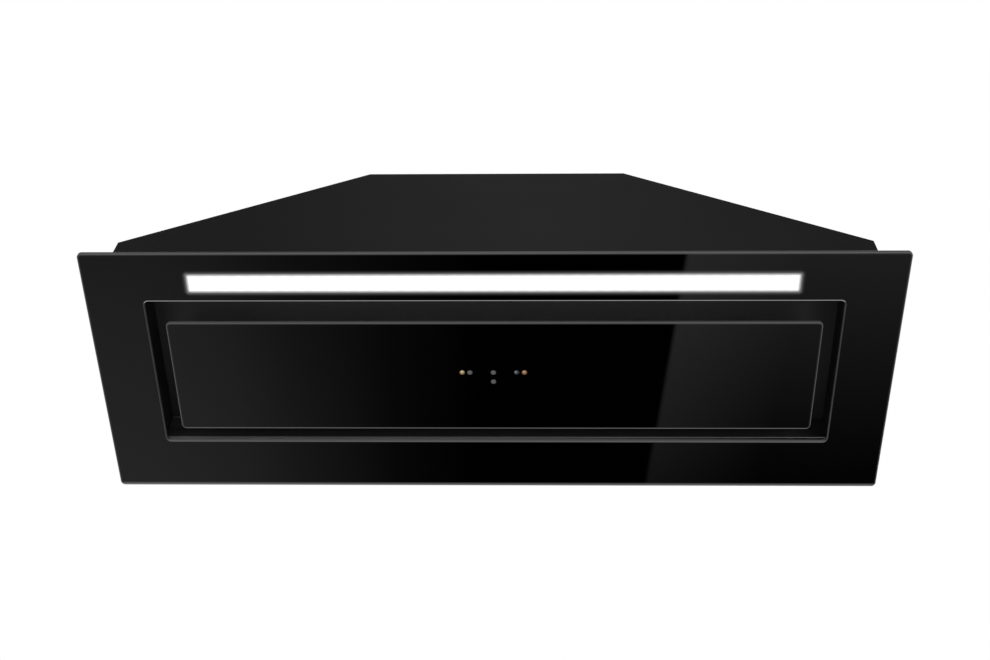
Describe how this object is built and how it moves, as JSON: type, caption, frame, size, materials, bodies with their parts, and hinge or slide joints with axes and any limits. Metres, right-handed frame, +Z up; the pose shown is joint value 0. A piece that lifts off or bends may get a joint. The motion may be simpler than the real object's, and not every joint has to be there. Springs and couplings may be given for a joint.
{
  "type": "built-in range hood",
  "caption": "Built-in range hood with a black glass front, light bar, hinged suction panel over grease filters, sloped sheet housing with a fan inside, and a round duct collar on top",
  "frame": {"origin": "centre of the cabinet cut-out, in the plane of the mounting flange's top face that closes against the cabinet", "axes": "+Z up along the duct, +X to the right seen from the front, the front at -Y"},
  "size_m": [0.86, 0.3015, 0.2895],
  "materials": {
    "black_glass": "polished, opaque black, ground edges",
    "bond": "matt",
    "zinc_sheet": "zinc plated",
    "housing_paint": "fine-texture matt black",
    "recess_paint": "satin black",
    "screw_steel": "zinc plated",
    "channel_aluminium": "extruded",
    "circuit_board": "solder mask",
    "chip_yellow": "phosphor",
    "diffuser_white": "opal",
    "fan_plastic": "moulded",
    "flap_plastic": "moulded",
    "motor_steel": "satin grey",
    "rubber": "matt",
    "lens_grey": "smoked",
    "lens_blue": "bluish",
    "lens_amber": "amber",
    "magnet": "nickel plated",
    "filter_metal": "grey anodised",
    "trim_grey": "grey anodised"
  },
  "bodies": {
    "hood_body": {"glass_frame": "black_glass", "glass_bond": "bond", "mounting_flange": "zinc_sheet", "base_plate": "zinc_sheet", "recess_tray": "recess_paint", "rear_trim": "trim_grey", "housing_front": "housing_paint", "housing_rear": "housing_paint", "housing_left": "housing_paint", "housing_right": "housing_paint", "housing_top": "housing_paint", "rear_screws": "screw_steel", "fixing_brackets": "zinc_sheet", "bracket_screws": "screw_steel", "led_channel": "channel_aluminium", "led_board": "circuit_board", "led_chips": "chip_yellow", "led_diffuser": "diffuser_white", "scroll_left": "fan_plastic", "scroll_right": "fan_plastic", "scroll_screws": "screw_steel", "motor_body": "motor_steel", "motor_bearings": "screw_steel", "motor_sleeve": "rubber", "motor_bracket": "zinc_sheet", "outlet_collar": "fan_plastic", "collar_screws": "screw_steel", "junction_box": "fan_plastic", "junction_lid": "fan_plastic", "lid_screws": "screw_steel", "control_board": "circuit_board", "terminal_block": "diffuser_white", "run_capacitor": "channel_aluminium", "cable_gland": "flap_plastic", "hinge_brackets": "recess_paint", "hinge_pins": "screw_steel", "catch_brackets": "recess_paint", "catch_magnets": "magnet", "filter_ledges": "recess_paint", "filter_catches": "recess_paint"},
    "panel": {"panel_glass": "black_glass", "panel_pan": "recess_paint", "hinge_ears": "recess_paint", "striker_plates": "screw_steel", "sensor_board": "circuit_board", "sensor_cover": "flap_plastic", "sensor_lenses": "lens_grey", "blue_lens": "lens_blue", "amber_lenses": "lens_amber"},
    "filter_left": {"filter_frame_left": "filter_metal", "filter_mesh_left": "filter_metal", "filter_pull_left": "flap_plastic"},
    "filter_right": {"filter_frame_right": "filter_metal", "filter_mesh_right": "filter_metal", "filter_pull_right": "flap_plastic"},
    "rotor": {"impeller": "fan_plastic", "motor_shaft": "screw_steel"},
    "flap_front": {"flap_front": "flap_plastic"},
    "flap_rear": {"flap_rear": "flap_plastic"}
  },
  "joints": [
    {"name": "panel_hinge", "type": "hinge", "parent": "hood_body", "child": "panel", "pos_m": [0, 0.06, 0.008], "axis": [1, 0, 0], "range_deg": [0, 85]},
    {"name": "filter_tilt_left", "type": "hinge", "parent": "hood_body", "child": "filter_left", "pos_m": [-0.164, 0.068, 0.0383], "axis": [1, 0, 0], "range_deg": [0, 8]},
    {"name": "filter_tilt_right", "type": "hinge", "parent": "hood_body", "child": "filter_right", "pos_m": [0.164, 0.068, 0.0383], "axis": [1, 0, 0], "range_deg": [0, 8]},
    {"name": "impeller_spin", "type": "hinge", "parent": "hood_body", "child": "rotor", "pos_m": [0, -0.053, 0.1305], "axis": [1, 0, 0], "continuous": true},
    {"name": "flap_front_hinge", "type": "hinge", "parent": "hood_body", "child": "flap_front", "pos_m": [0, -0.005, 0.243], "axis": [-1, 0, 0], "range_deg": [0, 80]},
    {"name": "flap_rear_hinge", "type": "hinge", "parent": "hood_body", "child": "flap_rear", "pos_m": [0, 0.005, 0.243], "axis": [1, 0, 0], "range_deg": [0, 80]}
  ]
}
